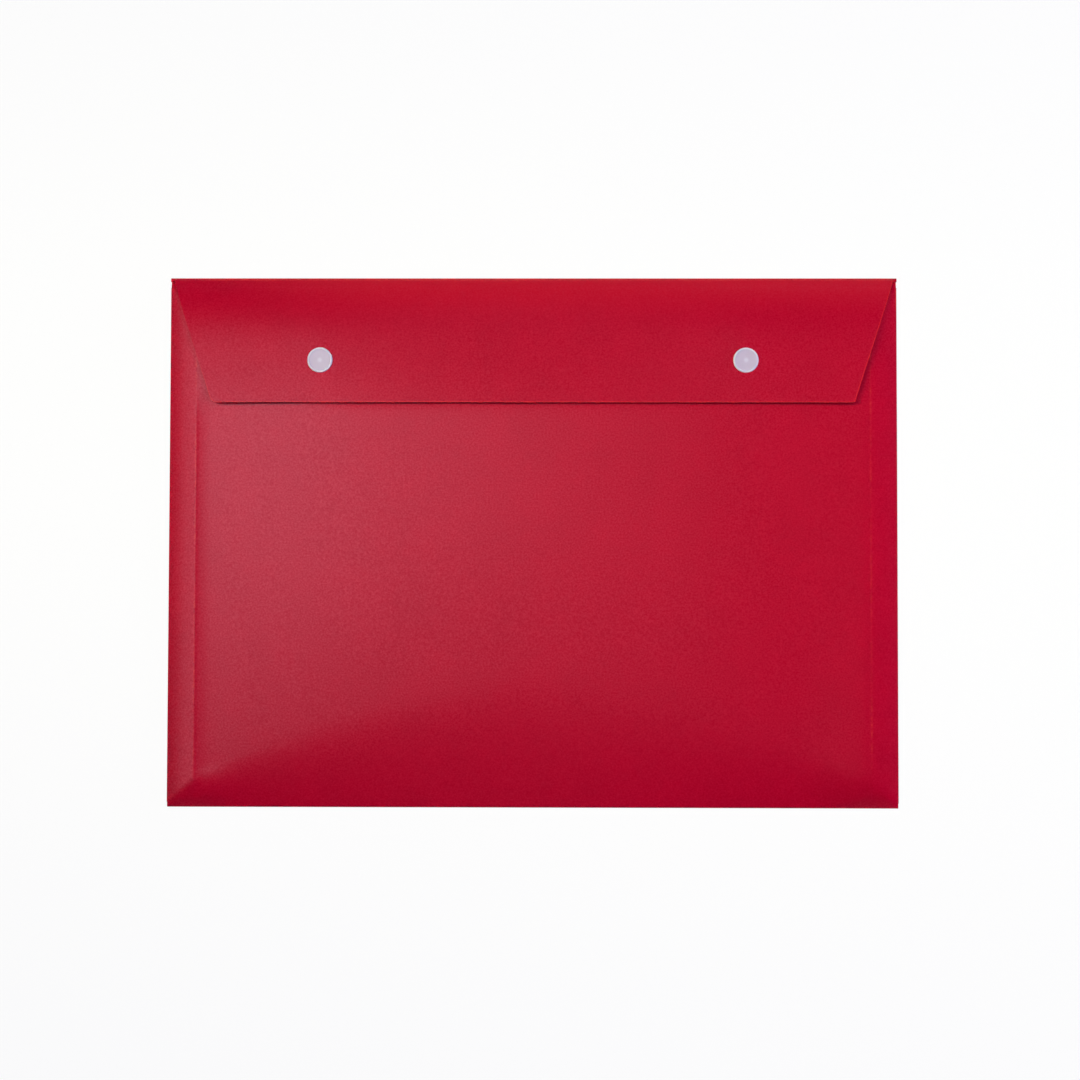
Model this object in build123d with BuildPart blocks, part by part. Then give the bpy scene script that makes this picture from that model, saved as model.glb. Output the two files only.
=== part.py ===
from build123d import *
from math import asin, atan2, cos, hypot, radians, sin, tan
import os

# A4 document wallet: one creased polypropylene sheet with two plastic press studs.
# It lies on its back with the flap closed. X runs across the wallet, Y up towards the
# flap's crease and Z out of the table. The origin is on the table under the middle.

# Sheet and overall size, in millimetres and degrees
wallet_width = 330.0
wallet_height = 240.0
sheet = 0.6
fold_radius = 0.3  # inside every fold

# Pocket: side tabs, the slopes down to the folds and the bends above them
tab_width = 12.0
side_slope = 24.0
side_bend = 1.5
bottom_slope = 24.0
bottom_bend_run = 8.5  # reach of the soft bend each side of its corner
tab_clearance = 0.3

# Swell of the front panel between its slopes and the level land under the studs
swell = 1.5
swell_side_run = 62.0  # from where a slope ends to the full swell
swell_bottom_run = 46.0
swell_top_run = 9.0
swell_soft_run = 20.0  # reach of the bends at the sides and bottom, then at the land
land_soft_run = 3.5
land_rim = 0.5  # level sheet round a stud's base

# Mouth of the pocket, measured down from the flap's crease
mouth_drop = 14.0
mouth_inset = 55.0  # from the wallet's sides to the ends of the cut-out's floor
mouth_slant = 8.0
mouth_round = 6.0
ear_drop = 7.5
ear_corner_drop = 2.0
ear_bend_run = 3.0
ear_clearance = 0.4  # under the closed flap

# Flap
flap_drop = 57.2
flap_crease_inset = 1.2  # from the wallet's sides, at the crease and at the free edge
flap_edge_inset = 20.1
flap_bend_run = 7.5
flap_left_round = 2.2
flap_right_round = 0.6
crease_strip = 2.0
hinge_clearance = 0.05

# Press studs: places, then caps, sockets and studs
snap_inset = 69.0  # from the wallet's sides
snap_drop = 38.6
snap_land = 5.0  # level flap between a cap and the flap's bend
cap_diameter = 11.4
cap_height = 1.1
cap_round = 0.6
cap_rim = 0.9
cap_dish = 0.2
cap_pip_diameter = 1.9
cap_pip = 0.12
post_diameter = 2.0
post_clearance = 0.1
head_diameter = 3.0
head_height = 0.45
head_clearance = 0.1
socket_diameter = 10.4
socket_base = 0.5
socket_round = 0.5
socket_wall = 0.7
spring_wall = 0.5
spring_depth = 1.4
lip_diameter = 4.6
lip_height = 0.35
lip_lead = 0.15
stud_diameter = 10.4
stud_base = 0.8
stud_round = 0.35
knob_height = 1.5
knob_crown = 0.35
neck_clearance = 0.15
snap_grip = 0.15  # how far the knob bulges past the socket's lip
bulb_clearance = 0.25
mouth_gap = 0.2  # socket above the stud's base
lip_play = 0.05
knob_gap = 0.15  # knob below the rivet head in the socket

# Heights and fold lines that follow
fold_out = fold_radius + sheet
fold_height = fold_out
side_fold = wallet_width / 2 - fold_out
bottom_fold = -(wallet_height / 2 - fold_out)
crease_line = wallet_height / 2 - fold_out
side_angle = radians(side_slope)
bottom_angle = radians(bottom_slope)
margin_length = tab_width + side_bend * tan(side_angle / 2)
front_under = fold_height + fold_out * cos(side_angle) + margin_length * sin(side_angle)
front_top = front_under + sheet
socket_height = knob_height - mouth_gap + knob_gap + head_height + socket_base
flap_under = front_top + stud_base + mouth_gap + socket_height

# The flap's root slopes up from the crease to a shoulder, clear of the caps
snap_x = wallet_width / 2 - snap_inset
snap_y = wallet_height / 2 - snap_drop
land_edge = snap_y - stud_diameter / 2 - land_rim - land_soft_run
shoulder_y = snap_y + cap_diameter / 2 + snap_land + flap_bend_run
shoulder_run = crease_line - shoulder_y
shoulder_rise = flap_under - fold_height
flap_angle = atan2(shoulder_rise, shoulder_run) - asin(fold_radius / hypot(shoulder_run, shoulder_rise))
flap_edge = wallet_height / 2 - flap_drop
flap_crease_half = wallet_width / 2 - flap_crease_inset
flap_edge_half = wallet_width / 2 - flap_edge_inset
ear_lift = fold_radius - ear_clearance
ear_corner = wallet_height / 2 - ear_corner_drop


def slope_height(run, angle, lift):
    """Height of a slope at a distance inwards from its fold, lift clear of the fold's centre."""
    return fold_height + run * tan(angle) + lift / cos(angle)


def slope_run(height, angle, lift):
    """Distance inwards from its fold at which a slope reaches a height."""
    return (height - fold_height - lift / cos(angle)) / tan(angle)


def bend_radius(run, angle):
    """Radius of the bend that starts a run before the corner of a slope."""
    return run / tan(angle / 2)


def across_profile(lift, level, radius, foot):
    """Cross-section under the front panel: foot points on the left, both slopes and the swelling top."""
    corner = side_fold - slope_run(level, side_angle, lift)
    left = [*foot, (-corner, level), (swell_side_run - corner, level + swell)]
    right = [(-x, z) for x, z in reversed(left)]
    soft = bend_radius(swell_soft_run, atan2(swell, swell_side_run))
    plain = [0] * (len(foot) - 1)
    radii = [*plain, radius, soft, soft, radius, *plain]
    with BuildSketch(Plane.XZ) as profile:
        with BuildLine():
            top = FilletPolyline(*left, *right, radius=radii)
            Line(top @ 1, top @ 0)
        make_face()
    return profile.sketch


def along_profile(lift, level, top_lift, extra):
    """Lengthwise section under the front panel: bottom fold, slope, swell, land and the ears' slope."""
    corner = bottom_fold + slope_run(level, bottom_angle, lift)
    ear_shoulder = crease_line - slope_run(level, flap_angle, top_lift)
    ear_end = slope_height(crease_line - ear_corner, flap_angle, top_lift)
    bottom_radius = bend_radius(bottom_bend_run, bottom_angle - atan2(swell, swell_bottom_run)) + extra
    swell_radius = bend_radius(swell_soft_run, atan2(swell, swell_bottom_run))
    land_radius = bend_radius(land_soft_run, atan2(swell, swell_top_run))
    ear_radius = bend_radius(ear_bend_run, flap_angle) + extra
    with BuildSketch(Plane.YZ) as profile:
        with BuildLine():
            fold = CenterArc((bottom_fold, fold_height), lift, 270, bottom_slope - 180)
            top = FilletPolyline(
                fold @ 1,
                (corner, level),
                (corner + swell_bottom_run, level + swell),
                (land_edge - swell_top_run, level + swell),
                (land_edge, level),
                (ear_shoulder, level),
                (ear_corner, ear_end),
                radius=[bottom_radius, swell_radius, land_radius, land_radius, ear_radius],
            )
            Line(top @ 1, (ear_corner, 0))
            Line((ear_corner, 0), (bottom_fold, 0))
            if lift < fold_height:
                Line((bottom_fold, 0), fold @ 0)
        make_face()
    return profile.sketch


# Space inside the pocket, which shapes the front panel's underside
under_foot = [
    (-wallet_width / 2, 0),
    (-wallet_width / 2, slope_height(-fold_out, side_angle, fold_out)),
]
with BuildPart() as pocket_space:
    across = across_profile(fold_out, front_under, side_bend, under_foot)
    extrude(across, amount=wallet_height / 2, both=True)
    along = along_profile(fold_radius, front_under, ear_lift - sheet, 0)
    extrude(along, amount=wallet_width / 2, both=True, mode=Mode.INTERSECT)

# Front panel: swelling in the middle, sloping down to the folds, cut out at the mouth
margin_foot_x = -side_fold - fold_out * sin(side_angle)
margin_foot_z = fold_height + fold_out * cos(side_angle)
top_foot = [
    (margin_foot_x, 0),
    (margin_foot_x, margin_foot_z),
    (margin_foot_x - sheet * sin(side_angle), margin_foot_z + sheet * cos(side_angle)),
]
tab_inner_x = side_fold + fold_out * sin(side_angle) - tab_width * cos(side_angle)
mouth_half = [
    (wallet_width / 2 - mouth_inset, wallet_height / 2 - mouth_drop),
    (wallet_width / 2 - mouth_inset + mouth_slant, wallet_height / 2 - ear_drop),
    (tab_inner_x, wallet_height / 2 - ear_drop),
    (wallet_width / 2, ear_corner),
]
with BuildPart() as front_panel:
    across = across_profile(fold_out + sheet, front_top, side_bend + sheet, top_foot)
    extrude(across, amount=wallet_height / 2, both=True)
    along = along_profile(fold_out, front_top, ear_lift, sheet)
    extrude(along, amount=wallet_width / 2, both=True, mode=Mode.INTERSECT)
    add(pocket_space.part, mode=Mode.SUBTRACT)
    with BuildSketch() as mouth_outline:
        with BuildLine():
            mouth = FilletPolyline(
                *[(-x, y) for x, y in reversed(mouth_half)],
                *mouth_half,
                radius=[0, mouth_round, mouth_round, mouth_round, mouth_round, 0],
            )
            Polyline(
                mouth @ 1,
                (wallet_width / 2, -wallet_height / 2),
                (-wallet_width / 2, -wallet_height / 2),
                mouth @ 0,
            )
        make_face()
    extrude(amount=front_top + swell, mode=Mode.INTERSECT)
    with Locations((-snap_x, snap_y, front_top), (snap_x, snap_y, front_top)):
        Hole(post_diameter / 2 + post_clearance)
front_panel.part.label = "front_panel"

# Back panel: the flat sheet between the folds
with BuildPart() as back_panel:
    with BuildSketch():
        with Locations((0, (bottom_fold + crease_line - crease_strip) / 2)):
            Rectangle(2 * side_fold, crease_line - crease_strip - bottom_fold)
    extrude(amount=sheet)
back_panel.part.label = "back_panel"

# Side tab: folded up and in from the back panel, its ends cut back under the front's slopes
tab_top_z = fold_height + fold_out * cos(side_angle) + tab_width * sin(side_angle)
tab_bottom = [
    bottom_fold + slope_run(margin_foot_z, bottom_angle, fold_radius) + tab_clearance,
    bottom_fold + slope_run(tab_top_z, bottom_angle, fold_radius) + bottom_bend_run + tab_clearance,
]
tab_top = [
    crease_line - slope_run(margin_foot_z, flap_angle, ear_lift - sheet) - tab_clearance,
    crease_line - slope_run(tab_top_z, flap_angle, ear_lift - sheet) - ear_bend_run - tab_clearance,
]
with BuildPart() as left_side_tab:
    with BuildSketch(Plane.XZ):
        with BuildLine():
            fold = CenterArc((-side_fold, fold_height), fold_out, 270, side_slope - 180)
            PolarLine(fold @ 1, tab_width, side_slope)
            offset(amount=sheet, side=Side.RIGHT)
        make_face()
    extrude(amount=wallet_height / 2, both=True)
    with BuildSketch():
        with BuildLine():
            Polyline(
                (-wallet_width / 2, tab_bottom[0]),
                (margin_foot_x, tab_bottom[0]),
                (-tab_inner_x, tab_bottom[1]),
                (sheet - tab_inner_x, tab_bottom[1]),
                (sheet - tab_inner_x, tab_top[1]),
                (-tab_inner_x, tab_top[1]),
                (margin_foot_x, tab_top[0]),
                (-wallet_width / 2, tab_top[0]),
                close=True,
            )
        make_face()
    extrude(amount=front_top, mode=Mode.INTERSECT)
left_side_tab.part.label = "left_side_tab"

with BuildPart() as right_side_tab:
    mirror(left_side_tab.part, about=Plane.YZ)
right_side_tab.part.label = "right_side_tab"

# Flap crease: the rolled edge that the flap turns on, right across the wallet, on a strip of the back
with BuildPart() as flap_crease:
    with BuildSketch(Plane.YZ):
        with Locations((crease_line, fold_height)):
            Circle(fold_out)
    extrude(amount=wallet_width / 2, both=True)
    with BuildSketch(Plane.YZ):
        with Locations((crease_line - crease_strip / 2, sheet / 2)):
            Rectangle(crease_strip, sheet)
    extrude(amount=side_fold, both=True)
flap_crease.part.label = "flap_crease"

# Flap: rises from the crease over the mouth, then lies level above the front panel
with BuildPart() as flap_panel:
    with BuildSketch(Plane.YZ):
        with BuildLine():
            FilletPolyline(
                (crease_line + fold_radius * sin(flap_angle), fold_height + fold_radius * cos(flap_angle)),
                (shoulder_y, flap_under),
                (flap_edge, flap_under),
                radius=bend_radius(flap_bend_run, flap_angle),
            )
            offset(amount=sheet, side=Side.RIGHT)
        make_face()
    extrude(amount=wallet_width / 2, both=True)
    with BuildSketch():
        with BuildLine():
            FilletPolyline(
                (-flap_crease_half, wallet_height / 2),
                (flap_crease_half, wallet_height / 2),
                (flap_edge_half, flap_edge),
                (-flap_edge_half, flap_edge),
                radius=[0, 0, flap_right_round, flap_left_round],
                close=True,
            )
        make_face()
    extrude(amount=flap_under + sheet, mode=Mode.INTERSECT)
    with BuildSketch(Plane.YZ):
        with Locations((crease_line, fold_height)):
            Circle(fold_out + hinge_clearance)
    extrude(amount=wallet_width / 2, both=True, mode=Mode.SUBTRACT)
    with Locations((-snap_x, snap_y, flap_under + sheet), (snap_x, snap_y, flap_under + sheet)):
        Hole(post_diameter / 2 + post_clearance)
flap_panel.part.label = "flap_panel"

pieces = [front_panel, back_panel, left_side_tab, right_side_tab, flap_crease, flap_panel]

# Radii of the press studs' pieces, from the axis outwards
post_radius = post_diameter / 2
hole_radius = post_radius + post_clearance
head_radius = head_diameter / 2
hollow_radius = head_radius + head_clearance
lip_radius = lip_diameter / 2
neck_radius = lip_radius - neck_clearance
bulb_radius = lip_radius + snap_grip
cavity_radius = bulb_radius + bulb_clearance
spring_radius = cavity_radius + spring_wall
neck_top = stud_base + mouth_gap + lip_height + lip_play
knob_top = stud_base + knob_height


def snap_plane(x, z, up):
    """Plane through a press stud's axis: radius along its x, away from the sheet along its y."""
    return Plane((x, snap_y, z), x_dir=(1, 0, 0), z_dir=(0, -up, 0))


def cap_profile(plane, grip):
    """Dished cap with a rounded rim, its post through the sheet and the rivet head on the post."""
    cap_radius = cap_diameter / 2
    with BuildSketch(plane) as profile:
        with BuildLine():
            FilletPolyline(
                (0, cap_height - cap_dish + cap_pip),
                (cap_pip_diameter / 2, cap_height - cap_dish),
                (cap_radius - cap_rim - cap_dish, cap_height - cap_dish),
                (cap_radius - cap_rim, cap_height),
                (cap_radius, cap_height),
                (cap_radius, 0),
                (post_radius, 0),
                (post_radius, -grip),
                (head_radius, -grip),
                (head_radius, -grip - head_height),
                (0, -grip - head_height),
                radius=[0, 0, 0, cap_round, 0, 0, 0, 0, 0],
            )
            Line((0, -grip - head_height), (0, cap_height - cap_dish + cap_pip))
        make_face()
    return profile.sketch


for side, x in (("left", -snap_x), ("right", snap_x)):
    axis = Axis((x, snap_y, 0), (0, 0, 1))

    # Cap on the flap, riveted through the flap and the socket
    with BuildPart() as flap_cap:
        revolve(cap_profile(snap_plane(x, flap_under + sheet, 1), sheet + socket_base), axis)
    flap_cap.part.label = side + "_flap_cap"

    # Socket under the flap: a sprung ring with a lip inside a rounded body
    with BuildPart() as socket:
        with BuildSketch(snap_plane(x, flap_under, -1)):
            with BuildLine():
                FilletPolyline(
                    (hole_radius, 0),
                    (socket_diameter / 2, 0),
                    (socket_diameter / 2, socket_height),
                    (socket_diameter / 2 - socket_wall, socket_height),
                    (socket_diameter / 2 - socket_wall, socket_height - spring_depth),
                    (spring_radius, socket_height - spring_depth),
                    (spring_radius, socket_height),
                    (lip_radius + lip_lead, socket_height),
                    (lip_radius, socket_height - lip_lead),
                    (lip_radius, socket_height - lip_height),
                    (cavity_radius, socket_height - lip_height),
                    (cavity_radius, socket_base),
                    (hole_radius, socket_base),
                    radius=[0, socket_round, 0, 0, 0, 0, 0, 0, 0, 0, 0],
                )
                Line((hole_radius, socket_base), (hole_radius, 0))
            make_face()
        revolve(axis=axis)
    socket.part.label = side + "_socket"

    # Stud on the front panel: a bulging hollow knob on a round base
    with BuildPart() as stud:
        with BuildSketch(snap_plane(x, front_top, 1)):
            with BuildLine():
                base = FilletPolyline(
                    (hole_radius, 0),
                    (stud_diameter / 2, 0),
                    (stud_diameter / 2, stud_base),
                    (neck_radius, stud_base),
                    (neck_radius, neck_top),
                    radius=[0, stud_round, 0],
                )
                bulb = ThreePointArc(
                    base @ 1,
                    (bulb_radius, (neck_top + knob_top) / 2),
                    (bulb_radius - knob_crown, knob_top),
                )
                Polyline(
                    bulb @ 1,
                    (hollow_radius, knob_top),
                    (hollow_radius, stud_base),
                    (hole_radius, stud_base),
                    base @ 0,
                )
            make_face()
        revolve(axis=axis)
    stud.part.label = side + "_stud"

    # Cap inside the pocket, riveted through the front panel and the stud
    with BuildPart() as stud_cap:
        revolve(cap_profile(snap_plane(x, front_under, -1), sheet + stud_base), axis)
    stud_cap.part.label = side + "_stud_cap"

    pieces += [flap_cap, socket, stud, stud_cap]

os.makedirs("parts", exist_ok=True)
for piece in pieces:
    export_step(piece.part, f"parts/{piece.part.label}.step")
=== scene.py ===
import bmesh
import bpy
import numpy as np
from math import asin, atan2, radians, sin
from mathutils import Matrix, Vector


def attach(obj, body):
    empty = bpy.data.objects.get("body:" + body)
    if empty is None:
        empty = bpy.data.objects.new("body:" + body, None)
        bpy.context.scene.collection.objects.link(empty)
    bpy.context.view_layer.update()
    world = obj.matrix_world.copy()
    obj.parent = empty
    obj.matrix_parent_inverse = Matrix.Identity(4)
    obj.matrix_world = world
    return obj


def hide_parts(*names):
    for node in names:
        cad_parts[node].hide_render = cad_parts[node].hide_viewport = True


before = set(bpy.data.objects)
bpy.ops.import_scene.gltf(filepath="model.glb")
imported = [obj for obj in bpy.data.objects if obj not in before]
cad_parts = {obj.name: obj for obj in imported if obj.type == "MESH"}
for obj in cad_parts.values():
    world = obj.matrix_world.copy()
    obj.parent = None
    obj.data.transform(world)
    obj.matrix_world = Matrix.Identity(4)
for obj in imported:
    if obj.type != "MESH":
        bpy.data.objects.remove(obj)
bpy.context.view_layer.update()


# Back panel, side tabs and crease: one sheet of translucent red polypropylene, 0.6 mm thick,
# die-cut and creased. Its satin face is rolled with a fine sand grain. Its cut edges carry a painted
# highlight, and the crease is painted a brighter red as painted light where it faces the lamps.
mm = 0.001
sheet_red = (0.462, 0.0, 0.0225, 1)
# painted light: the brighter red of the crease bead and of the flap next to the crease, where they face the
# lamps
crease_light_red = (0.56, 0.008, 0.029, 1)
crease_shine = 0.35
noise_span = (0.3, 0.7)  # nearly all of a noise's values lie between these


def set_sockets(tree, node, sockets):
    """Each named socket takes a value or another node's output."""
    for name, value in sockets.items():
        if isinstance(value, bpy.types.NodeSocket):
            tree.links.new(value, node.inputs[name])
        else:
            node.inputs[name].default_value = value


def add_node(tree, kind, sockets=None, **settings):
    """A new node with its settings, then its sockets."""
    made = tree.nodes.new(kind)
    for name, value in settings.items():
        setattr(made, name, value)
    set_sockets(tree, made, sockets or {})
    return made


def math_node(tree, operation, first, second=0.0, clamp=False):
    """The output of one sum on two values."""
    sockets = {0: first, 1: second}
    return add_node(tree, "ShaderNodeMath", sockets, operation=operation, use_clamp=clamp).outputs[0]


def grade(tree, value, start, end, low=0.0, high=1.0, soft=False):
    """The output of a value graded from low at start to high at end, evenly or softly."""
    sockets = {"Value": value, "From Min": start, "From Max": end, "To Min": low, "To Max": high}
    kind = "SMOOTHSTEP" if soft else "LINEAR"
    return add_node(tree, "ShaderNodeMapRange", sockets, interpolation_type=kind).outputs["Result"]


def sand_grain_group():
    """Fine pressed grain: its height, and a slow mottle for colour and gloss."""
    group = bpy.data.node_groups.new("sand_grain", "ShaderNodeTree")
    for name in ("Grain Scale", "Mottle Scale"):
        group.interface.new_socket(name, in_out="INPUT", socket_type="NodeSocketFloat")
    for name in ("Height", "Mottle"):
        group.interface.new_socket(name, in_out="OUTPUT", socket_type="NodeSocketFloat")
    sizes = group.nodes.new("NodeGroupInput").outputs
    place = group.nodes.new("ShaderNodeTexCoord").outputs["Object"]
    grain = {"Vector": place, "Scale": sizes["Grain Scale"], "Detail": 2.5, "Roughness": 0.6}
    mottle = {"Vector": place, "Scale": sizes["Mottle Scale"], "Detail": 3.0, "Roughness": 0.55}
    results = group.nodes.new("NodeGroupOutput").inputs
    group.links.new(add_node(group, "ShaderNodeTexNoise", grain).outputs["Fac"], results["Height"])
    group.links.new(add_node(group, "ShaderNodeTexNoise", mottle).outputs["Fac"], results["Mottle"])
    return group


sand_grain = sand_grain_group()


def new_material(name):
    """A new material with its node tree and shader."""
    material = bpy.data.materials.new(name)
    material.use_nodes = True
    return material, material.node_tree, material.node_tree.nodes["Principled BSDF"]


def sheet_material(name, colour, shine=1.0):
    """Grained red sheet: its material, node tree, and the colour that marks can be laid over."""
    material, tree, shader = new_material(name)
    scales = {"Grain Scale": 1250.0, "Mottle Scale": 55.0}
    grain = add_node(tree, "ShaderNodeGroup", scales, node_tree=sand_grain).outputs
    shade = grade(tree, grain["Mottle"], *noise_span, 0.965, 1.035)
    speck = grade(tree, grain["Height"], *noise_span, 0.92, 1.08)
    both = math_node(tree, "MULTIPLY", shade, speck)
    tinted = add_node(tree, "ShaderNodeVectorMath", {0: colour[:3], "Scale": both}, operation="SCALE")
    pressed = {"Height": grain["Height"], "Strength": 0.6, "Distance": 0.1 * mm}
    bump = add_node(tree, "ShaderNodeBump", pressed)
    set_sockets(tree, shader, {
        "Base Color": tinted.outputs["Vector"],
        "Roughness": grade(tree, grain["Height"], *noise_span, 0.32, 0.40),
        "Coat Weight": grade(tree, grain["Height"], *noise_span, 0.2 * shine, shine),
        "Normal": bump.outputs["Normal"],
        "Specular IOR Level": 0.2 * shine,
        "IOR": 1.49,
        "Coat Roughness": 0.38,
        "Coat IOR": 1.49})
    return material, tree, tinted.outputs["Vector"]


red_sheet, _, _ = sheet_material("red_sheet", sheet_red)
# The crease bead is painted the brighter red as painted light.
creased_sheet, _, _ = sheet_material("creased_sheet", crease_light_red, crease_shine)
for name, material in (("back_panel", red_sheet), ("left_side_tab", red_sheet),
                       ("right_side_tab", red_sheet), ("flap_crease", creased_sheet)):
    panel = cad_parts[name]
    panel.data.materials.clear()
    panel.data.materials.append(material)


# Front panel: folded up round the bottom edge, welded onto the side tabs, and swelling a little
# over the pocket. A wide shallow cut-out forms the mouth, and the inner edges of the tabs show
# through as two long lines where the sheet is stressed.
# painted highlight: the brighter red laid on the cut edges
edge_highlight_red = (0.60, 0.014, 0.025, 1)
stress_red = (0.60, 0.03, 0.034, 1)
sheet = 0.6 * mm
edge_band = 0.45 * mm
front_half = 164.71 * mm
margin_foot = 2.27 * mm
margin_run = 17 * mm
land = 7.333 * mm
swell_top = 8.833 * mm
swell_slope = 0.0242
swell_bend = 0.5 * mm
swell_end = (59 * mm, 71 * mm)
swell_end_bend = 0.1 * mm
hip_bend = 0.02 * mm
hip_bend_growth = 2 * mm
fold_line = -119.1 * mm
fold_height = 0.9 * mm
fold_lean = 24
fold_arc = 2.45 * mm
fold_end = -119.466 * mm
fold_top = 1.722 * mm
roll_run = 16 * mm
roll_growth = 0.194
roll_power = 0.63
droop_share = 0.3
droop_start = 40 * mm
droop_run = 160 * mm
droop_side = (11 * mm, 45 * mm)
tab_line = 152.4 * mm
tab_ridge = 0.05 * mm
tab_ridge_reach = 0.6 * mm
trough_slope = 0.33
trough_reach = 8.5 * mm
trough_bottom = (-118 * mm, -100 * mm)
trough_top = (50 * mm, 80 * mm)
trough_fade = 0.75
crease_line = 119.1 * mm
mouth_floor = 106 * mm
mouth_half = 110 * mm
mouth_slant = 0.8125
mouth_round = 1.6 * mm
ear_edge = 112.5 * mm
ear_corner = 153.5 * mm
ear_slant = 0.544
ear_foot = 0.789 * mm
ear_slope = 0.487
ear_sag = 0.5 * mm
ear_bend = 1.7 * mm
snap_x = 96 * mm
wave_height = 0.1 * mm
wave_side = (10 * mm, 40 * mm)
wave_bottom = (-105 * mm, -75 * mm)
wave_top = (40 * mm, 60 * mm)


def soft_min(first, second, reach):
    """The lower of two heights, rounded where they differ by less than reach."""
    near = np.maximum(reach - np.abs(first - second), 0)
    return np.minimum(first, second) - near * near / (4 * reach)


def soft_step(value, start, end):
    """Smooth rise from 0 at start to 1 at end."""
    share = np.clip((value - start) / (end - start), 0, 1)
    return share * share * (3 - 2 * share)


def mouth_edge(x):
    """Upper edge of the front panel: the floor of the cut-out, its slanted ends and the ears."""
    side = np.abs(x)
    slant = mouth_floor + (side - mouth_half) * mouth_slant
    ear = ear_edge + np.maximum(side - ear_corner, 0) * ear_slant
    return -soft_min(-mouth_floor, -soft_min(slant, ear, mouth_round), mouth_round)


def front_height(x, y):
    """Upper face of the front panel: side slopes, bottom slope, swell, land and ears, with a trough
    inside the left tab line, slow waves, and a slight ridge over the inner edges of the tabs."""
    inwards = front_half - np.abs(x)
    margin = 1 - np.clip(inwards / margin_run, 0, 1)
    margin_drop = (land - margin_foot) * margin**2
    across = land - margin_drop + swell_slope * np.maximum(inwards - margin_run, 0)
    across = soft_min(across, swell_top, swell_bend)
    past_tab = np.maximum(inwards - front_half + tab_line, 0) * (x < 0)
    dip = trough_slope * soft_step(y, *trough_bottom) * (1 - trough_fade * soft_step(y, *trough_top))
    across -= dip * past_tab * np.exp(-past_tab / trough_reach)
    droop = droop_share * np.clip((droop_start - y) / droop_run, 0, 1) ** 2 * soft_step(inwards, *droop_side)
    across -= (across - margin_foot) * droop
    run = np.maximum(roll_run, roll_growth * np.maximum(inwards, 0) ** roll_power)
    roll = 1 - np.clip((y - fold_end) / run, 0, 1)
    unsloped = across + margin_drop
    rolled = unsloped - (unsloped - fold_top) * roll**2
    body = soft_min(across, rolled, hip_bend + hip_bend_growth * margin)
    body = soft_min(body, swell_top - (swell_top - land) * soft_step(y, *swell_end), swell_end_bend)
    middle = 1 - np.clip(np.abs(x) / snap_x, 0, 1) ** 2
    ears = ear_foot + ear_slope * (crease_line - y) - ear_sag * middle
    height = soft_min(body, ears, ear_bend)
    waves = np.sin(x / (31 * mm) + 1.3) * np.sin(y / (27 * mm) + 0.4) + np.sin(x / (53 * mm) - y / (38 * mm))
    level = soft_step(inwards, *wave_side) * soft_step(y, *wave_bottom) * (1 - soft_step(y, *wave_top))
    ridge = np.exp(-(((np.abs(x) - tab_line) / tab_ridge_reach) ** 2))
    return height + wave_height * waves * level + tab_ridge * ridge


def spaced_grid(columns, column_counts, rows, row_counts):
    """A grid with so many columns and rows between the given lines: its mesh, and for each vertex
    the side of the middle that it is on, its column and its row."""
    mesh = bmesh.new()
    bmesh.ops.create_grid(mesh, x_segments=2 * sum(column_counts), y_segments=sum(row_counts), size=1)
    grid = np.array([vertex.co for vertex in mesh.verts])
    column_shares = np.cumsum([0, *column_counts]) / sum(column_counts)
    row_shares = np.cumsum([0, *row_counts]) / sum(row_counts)
    column = np.interp(np.abs(grid[:, 0]), column_shares, columns)
    row = np.interp((grid[:, 1] + 1) / 2, row_shares, rows)
    return mesh, np.sign(grid[:, 0]), column, row


def place_vertices(mesh, points):
    """Moves a grid's vertices to their places on the formed sheet."""
    for vertex, point in zip(mesh.verts, points):
        vertex.co = point


def make_piece(mesh, name, materials, crisp):
    """Makes a mesh an object, smooth except along edges that turn by crisp degrees or more."""
    for face in mesh.faces:
        face.smooth = True
    for edge in mesh.edges:
        edge.smooth = edge.calc_face_angle(0) < radians(crisp)
    data = bpy.data.meshes.new(name)
    mesh.to_mesh(data)
    mesh.free()
    for material in materials:
        data.materials.append(material)
    made = bpy.data.objects.new(name, data)
    bpy.context.scene.collection.objects.link(made)
    return made


def finish_sheet(mesh, name, materials, cut_from):
    """Gives a formed face its cut border with the painted edge highlight, and its thickness, and makes it an
    object.
    """
    for face in mesh.faces:
        border = any(edge.is_boundary for edge in face.edges)
        face.material_index = int(border and face.calc_center_median().y > cut_from)
    mesh.normal_update()
    bmesh.ops.solidify(mesh, geom=mesh.faces[:], thickness=sheet)
    mesh.normal_update()
    return make_piece(mesh, name, materials, crisp=40)


def places(tree):
    """The outputs X, Y and Z of a point's place on the wallet."""
    place = add_node(tree, "ShaderNodeTexCoord").outputs["Object"]
    return add_node(tree, "ShaderNodeSeparateXYZ", {0: place}).outputs


def lay_colour(tree, share, first, second):
    """Makes a material's colour go over from the first to the second by a share."""
    sockets = {"Factor": share, "A": first, "B": second}
    mixed = add_node(tree, "ShaderNodeMix", sockets, data_type="RGBA")
    tree.links.new(mixed.outputs["Result"], tree.nodes["Principled BSDF"].inputs["Base Color"])


front_columns = [0, 100 * mm, 128 * mm, 145 * mm, front_half - edge_band, front_half]
front_rows = [-fold_arc, 0, 26 * mm, 182 * mm, 200 * mm, 215.5 * mm, 225.5 * mm, 226 * mm]
mesh, side, column, run = spaced_grid(front_columns, [22, 26, 6, 36, 1],
                                      front_rows, [10, 34, 40, 18, 8, 12, 1])
x = side * column
y = fold_line - fold_height * sin(radians(fold_lean)) + run
bend_row, band_row, edge_row = front_rows[-3:]
near_mouth = np.clip((run - bend_row) / (band_row - bend_row), 0, 1)
y += near_mouth * (mouth_edge(x) - edge_band - (y.max() - edge_row + band_row))
y = np.where(run > (band_row + edge_row) / 2, mouth_edge(x), y)
z = front_height(x, y)
turn = np.radians(np.interp(run, [-fold_arc, 0], [270, 90 + fold_lean]))
in_fold = run < 0
y = np.where(in_fold, fold_line + fold_height * np.cos(turn), y)
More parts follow.
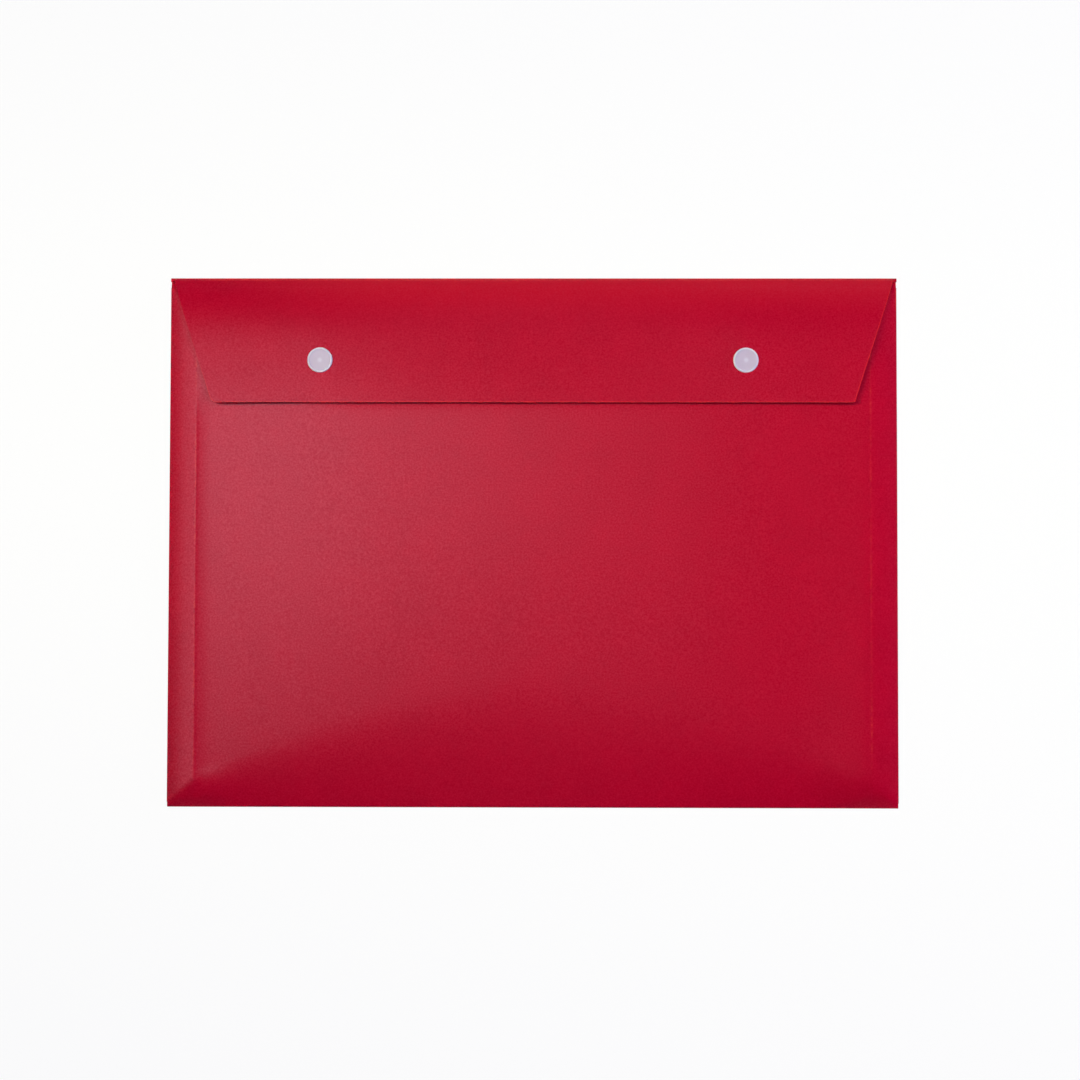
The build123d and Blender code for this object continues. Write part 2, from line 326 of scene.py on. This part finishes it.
z = np.where(in_fold, fold_height + fold_height * np.sin(turn), z)
place_vertices(mesh, np.stack([x, y, z], 1))

front_sheet, tree, plain = sheet_material("front_sheet", sheet_red)
place = places(tree)
past_line = math_node(tree, "SUBTRACT", math_node(tree, "ABSOLUTE", place["X"]), tab_line)
on_line = grade(tree, math_node(tree, "ABSOLUTE", past_line), 0.15 * mm, 0.7 * mm, 1.0, 0.0, soft=True)
sides = math_node(tree, "SIGN", place["X"])
lengthwise = add_node(tree, "ShaderNodeCombineXYZ", {"X": sides, "Y": place["Y"]}).outputs[0]
stretches = add_node(tree, "ShaderNodeTexNoise", {"Vector": lengthwise, "Scale": 42.0, "Detail": 3.0})
dashes = add_node(tree, "ShaderNodeTexNoise", {"Vector": lengthwise, "Scale": 330.0, "Detail": 2.0})
wear_and_light_share = grade(tree, stretches.outputs["Fac"], 0.4, 0.65, 0.15, 0.8)
dashed = grade(tree, dashes.outputs["Fac"], 0.4, 0.6)
fading = grade(tree, place["Y"], -108 * mm, -95 * mm)
broken = math_node(tree, "MULTIPLY", wear_and_light_share, dashed)
stress = math_node(tree, "MULTIPLY", math_node(tree, "MULTIPLY", on_line, fading), broken)
lay_colour(tree, stress, plain, stress_red)

# Cut edges: a painted highlight in a brighter red, faded to a trace at the flap's left end.
highlighted_edge, tree, edge_highlight_colour = sheet_material("highlighted_edge", edge_highlight_red)
edge_highlight_share = grade(tree, places(tree)["X"], -152 * mm, -144 * mm, 0.1, 1.0)
lay_colour(tree, edge_highlight_share, sheet_red, edge_highlight_colour)

front = finish_sheet(mesh, "front_sheet", [front_sheet, highlighted_edge], mouth_floor - edge_band)
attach(front, "pocket")
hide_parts("front_panel")


# Flap: the same sheet, turned over at the crease and narrower at its free edge. Its lower left
# corner is rounded and its lower right one nearly sharp. It rises from the crease to where the
# press studs hold it, and springs up a little further towards its free edge.
flap_top = 11.3327 * mm
flap_edge = 62.27 * mm
flap_half = 144.72 * mm
flap_taper = 0.3304
flap_left_round = 2.2 * mm
flap_right_round = 0.6 * mm
snap_y = 81.4 * mm
root_run = 38.25 * mm
held_lean = 0.07
held_drop = 7.045 * mm
held_power = 3.4
sag_depth = 1.14 * mm
sag_lean = 0.13
sag_drop = 3.61 * mm
sag_power = 7
edge_bow = 0.7
mouth_print = 0.03 * mm
mouth_print_reach = 0.7 * mm
mouth_print_end = (106 * mm, 116 * mm)


def flap_height(x, y):
    """Upper face of the closed flap: leaning up to its free edge and curving ever more steeply down
    to the crease. Between the studs it sags a little and leans more evenly."""
    up = y - snap_y
    root = np.maximum(up, 0) / root_run
    held = flap_top - held_lean * up - held_drop * root**held_power
    sagging = flap_top - sag_depth - sag_lean * up - sag_drop * root**sag_power
    sag = 1 - np.clip(np.abs(x) / snap_x, 0, 1) ** 2
    mouth_line = np.exp(-(((y - mouth_floor) / mouth_print_reach) ** 2))
    mouth_line *= 1 - soft_step(np.abs(x), *mouth_print_end)
    return held + (sagging - held) * sag - edge_bow * np.minimum(up, 0) ** 2 + mouth_print * mouth_line


def round_corner(from_side, from_edge, radius):
    """Bends the square rings of a grid's corner into round ones."""
    across = np.clip(1 - from_side / radius, 0, 1)
    along = np.clip(1 - from_edge / radius, 0, 1)
    ring = np.maximum(across, along)
    turn = np.minimum(across, along) / np.maximum(ring, 1e-9) * np.pi / 4
    turn = np.where(across > along, turn, np.pi / 2 - turn)
    inside = np.minimum(across, along) > 0
    return (np.where(inside, radius * (1 - ring * np.cos(turn)), from_side),
            np.where(inside, radius * (1 - ring * np.sin(turn)), from_edge))


flap_columns = np.array([0, 138, 144.45, 144.9]) / 144.9  # shares of the flap's half width
flap_rows = [flap_edge, flap_edge + edge_band, 68.5 * mm, 75.5 * mm, 90 * mm, 119.65 * mm]
mesh, side, column, y = spaced_grid(flap_columns, [46, 13, 1], flap_rows, [1, 10, 8, 6, 36])
from_side = (flap_half + (y - flap_edge) * flap_taper) * (1 - column)
corner_round = np.where(side < 0, flap_left_round, flap_right_round)
from_side, from_edge = round_corner(from_side, y - flap_edge, corner_round)
y = flap_edge + from_edge
x = side * (flap_half + from_edge * flap_taper - from_side)
place_vertices(mesh, np.stack([x, y, flap_height(x, y)], 1))

flap_sheet, tree, plain = sheet_material("flap_sheet", sheet_red)
place = places(tree)
# Painted light: the flap turns to the brighter red towards the crease, where its slope faces the lamps, and
# less so towards its left end.
crease_light_share = grade(tree, place["Y"], 98 * mm, 121 * mm, soft=True)
wear_and_light_share = grade(tree, place["X"], -155 * mm, -65 * mm, soft=True)
lay_colour(tree, math_node(tree, "MULTIPLY", crease_light_share, wear_and_light_share), plain, crease_light_red)
matt = grade(tree, place["Y"], 115.5 * mm, 119 * mm, 1.0, 0.1)
coat = tree.nodes["Principled BSDF"].inputs["Coat Weight"]
tree.links.new(math_node(tree, "MULTIPLY", coat.links[0].from_socket, matt), coat)

flap = finish_sheet(mesh, "flap_sheet", [flap_sheet, highlighted_edge], 0)
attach(flap, "flap")
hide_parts("flap_panel")


# Press studs: caps, sockets and studs moulded from a translucent whitish plastic. Each cap has a
# rounded rim round a shallow dish and a gate mark in the middle. Its post goes through the sheet
# and is riveted over inside the socket or the stud.
cap_face = (0.535, 0.44, 0.595, 1)
cap_rim_highlight = (0.71, 0.69, 0.82, 1)
post_radius = 1
head_radius = 1.5
head_depth = 0.45
# half of the cap's section, as radius and height over the sheet in mm
cap_section = [(0, 1.02), (0.5, 1.0), (0.95, 0.91), (1.2, 0.9), (4.4, 0.9), (4.6, 0.93), (4.72, 1.02),
               (4.9, 1.08), (5.1, 1.1), (5.33, 1.055), (5.52, 0.925), (5.65, 0.73), (5.7, 0.5), (5.7, 0.12),
               (5.63, 0), (post_radius, 0)]

snap_plastic, tree, shader = new_material("snap_plastic")
place = places(tree)
from_axis = add_node(tree, "ShaderNodeCombineXYZ", {
    "X": math_node(tree, "SUBTRACT", math_node(tree, "ABSOLUTE", place["X"]), snap_x),
    "Y": math_node(tree, "SUBTRACT", place["Y"], snap_y)}).outputs[0]
radius = add_node(tree, "ShaderNodeVectorMath", {0: from_axis}, operation="LENGTH").outputs["Value"]
# Painted highlight: the rim is painted paler, as the light its rounded edge catches. The face is also paler
# at the gate mark in the middle and in soft clouds.
rim_highlight = grade(tree, radius, 4.75 * mm, 5.1 * mm, soft=True)
gate = grade(tree, radius, 0.3 * mm, 1.6 * mm, 0.45, 0.0, soft=True)
scales = {"Grain Scale": 1400.0, "Mottle Scale": 300.0}
grain = add_node(tree, "ShaderNodeGroup", scales, node_tree=sand_grain).outputs
cloud = math_node(tree, "MULTIPLY", grain["Mottle"], 0.25)
paler = math_node(tree, "ADD", math_node(tree, "MAXIMUM", rim_highlight, gate), cloud, clamp=True)
lay_colour(tree, paler, cap_face, cap_rim_highlight)
bump = add_node(tree, "ShaderNodeBump", {"Height": grain["Height"], "Strength": 0.12, "Distance": 0.03 * mm})
set_sockets(tree, shader, {
    "Roughness": grade(tree, grain["Mottle"], *noise_span, 0.3, 0.38),
    "Normal": bump.outputs["Normal"],
    "IOR": 1.48})


def spin_cap(name, x, seat, up, grip):
    """A cap turned about its axis: its face, then the post through the sheet and the riveted head."""
    end = -grip - head_depth
    section = cap_section + [(post_radius, -grip), (head_radius, -grip), (head_radius, end), (0, end)]
    mesh = bmesh.new()
    chain = [mesh.verts.new((x + r * mm, snap_y, seat + up * h * mm)) for r, h in section]
    edges = [mesh.edges.new(pair) for pair in zip(chain, chain[1:])]
    bmesh.ops.spin(mesh, geom=chain + edges, cent=(x, snap_y, 0), axis=(0, 0, 1),
                   angle=radians(360), steps=64, use_merge=True)
    bmesh.ops.remove_doubles(mesh, verts=mesh.verts[:], dist=1e-6)
    bmesh.ops.recalc_face_normals(mesh, faces=mesh.faces[:])
    return make_piece(mesh, name, [snap_plastic], crisp=50)


for side, x in (("left", -snap_x), ("right", snap_x)):
    for body, node, seat, up, grip in (("flap", "flap_cap", flap_top, 1, 1.1),
                                       ("pocket", "stud_cap", land - sheet, -1, 1.4)):
        cap = spin_cap(f"{side}_{node}_moulding", x, seat, up, grip)
        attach(cap, body)
        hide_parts(f"{side}_{node}")
    for node in ("socket", "stud"):
        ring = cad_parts[f"{side}_{node}"]
        ring.data.materials.clear()
        ring.data.materials.append(snap_plastic)


# Studio sweep: a plain pale floor with a low wall far round it. It shows as white to the camera,
# in gloss and through clear pieces, and keeps the soft shadow round the wallet.
sweep_radius = 6.0
wall_height = 0.45
white_share = 0.9

sweep_paper, tree, paper = new_material("sweep_paper")
set_sockets(tree, paper, {"Base Color": (0.82, 0.82, 0.82, 1), "Roughness": 0.9, "Specular IOR Level": 0.0})
white = add_node(tree, "ShaderNodeEmission", {"Color": (1, 1, 1, 1), "Strength": 1.015})
rays = add_node(tree, "ShaderNodeLightPath").outputs
mirrored = math_node(tree, "MAXIMUM", rays["Is Glossy Ray"], rays["Is Transmission Ray"])
seen = math_node(tree, "MAXIMUM", rays["Is Camera Ray"], mirrored)
share = math_node(tree, "MULTIPLY", seen, white_share)
mixed = add_node(tree, "ShaderNodeMixShader", {0: share, 1: paper.outputs[0], 2: white.outputs[0]})
tree.links.new(mixed.outputs[0], tree.nodes["Material Output"].inputs["Surface"])

mesh = bmesh.new()
bmesh.ops.create_circle(mesh, cap_ends=True, segments=96, radius=sweep_radius)
rim_edges = [edge for edge in mesh.edges if edge.is_boundary]
wall = bmesh.ops.extrude_edge_only(mesh, edges=rim_edges)["geom"]
wall_top = [part for part in wall if isinstance(part, bmesh.types.BMVert)]
bmesh.ops.translate(mesh, verts=wall_top, vec=(0, 0, wall_height))
sweep = make_piece(mesh, "studio_sweep", [sweep_paper], crisp=0)


# Lamps: a long narrow key leans in from the left, so that the flap shades the right margin, and its
# light falls off towards the bottom. A soft top light and a low fill from the right, both cooler,
# light the shadows. Three softboxes show only as gloss on the panel and the two margins.
warm = (1, 1, 0.5)
cool = (0.68, 0.68, 1)
bright = (0.85, 0.85, 1)


def softbox(name, place, aim, size, power, glossy=False, spread=180, colour=(1, 1, 1)):
    """A rectangular lamp turned to a point, with its first side level across the wallet."""
    data = bpy.data.lights.new(name, "AREA")
    data.shape = "RECTANGLE"
    data.size, data.size_y = size
    data.energy = power
    data.color = colour
    data.spread = radians(spread)
    data.cycles.use_multiple_importance_sampling = glossy
    lamp = bpy.data.objects.new(name, data)
    bpy.context.scene.collection.objects.link(lamp)
    way = (Vector(aim) - Vector(place)).normalized()
    lamp.location = place
    lamp.rotation_euler = (asin(way.y), atan2(-way.x, -way.z), 0)
    lamp.visible_glossy = glossy
    lamp.visible_diffuse = not glossy


softbox("key", (-0.41, 0.2, 1.15), (0.2, 0.03, 0), (1.15, 0.15), 1.03, spread=38, colour=warm)
softbox("top_light", (0.4, 0.05, 1.6), (0, 0, 0), (1.0, 1.0), 17.2, colour=cool)
softbox("right_fill", (1.4, 0.15, 0.4), (0, 0, 0), (0.5, 0.8), 8.2, colour=cool)
softbox("highlight", (-0.33, 0.16, 1.25), (0, 0, 0), (0.44, 0.12), 2.2, True, colour=bright)
softbox("left_panel", (-0.9, 0.15, 1.07), (0, 0, 0), (0.8, 0.9), 3.9, True, colour=bright)
softbox("right_panel", (0.85, 0.25, 1.0), (0, 0, 0), (1.2, 0.9), 0.45, True)

world = bpy.data.worlds.new("studio")
world.use_nodes = True
tree = world.node_tree
set_sockets(tree, tree.nodes["Background"], {"Color": (1, 1, 1, 1), "Strength": 0.006})
bpy.context.scene.world = world


# Camera: a long lens above the wallet, looking nearly square down on it. It leans a little, so that
# the bottom edge is nearer and shows slightly wider than the crease.
lens = bpy.data.cameras.new("camera")
lens.lens = 90
camera = bpy.data.objects.new("camera", lens)
bpy.context.scene.collection.objects.link(camera)
camera.location = (0.0193, -0.0611, 1.2222)
camera.rotation_euler = (0.05065, 0.01297, 0.00207)
bpy.context.scene.camera = camera
bpy.context.scene.view_settings.view_transform = "Standard"
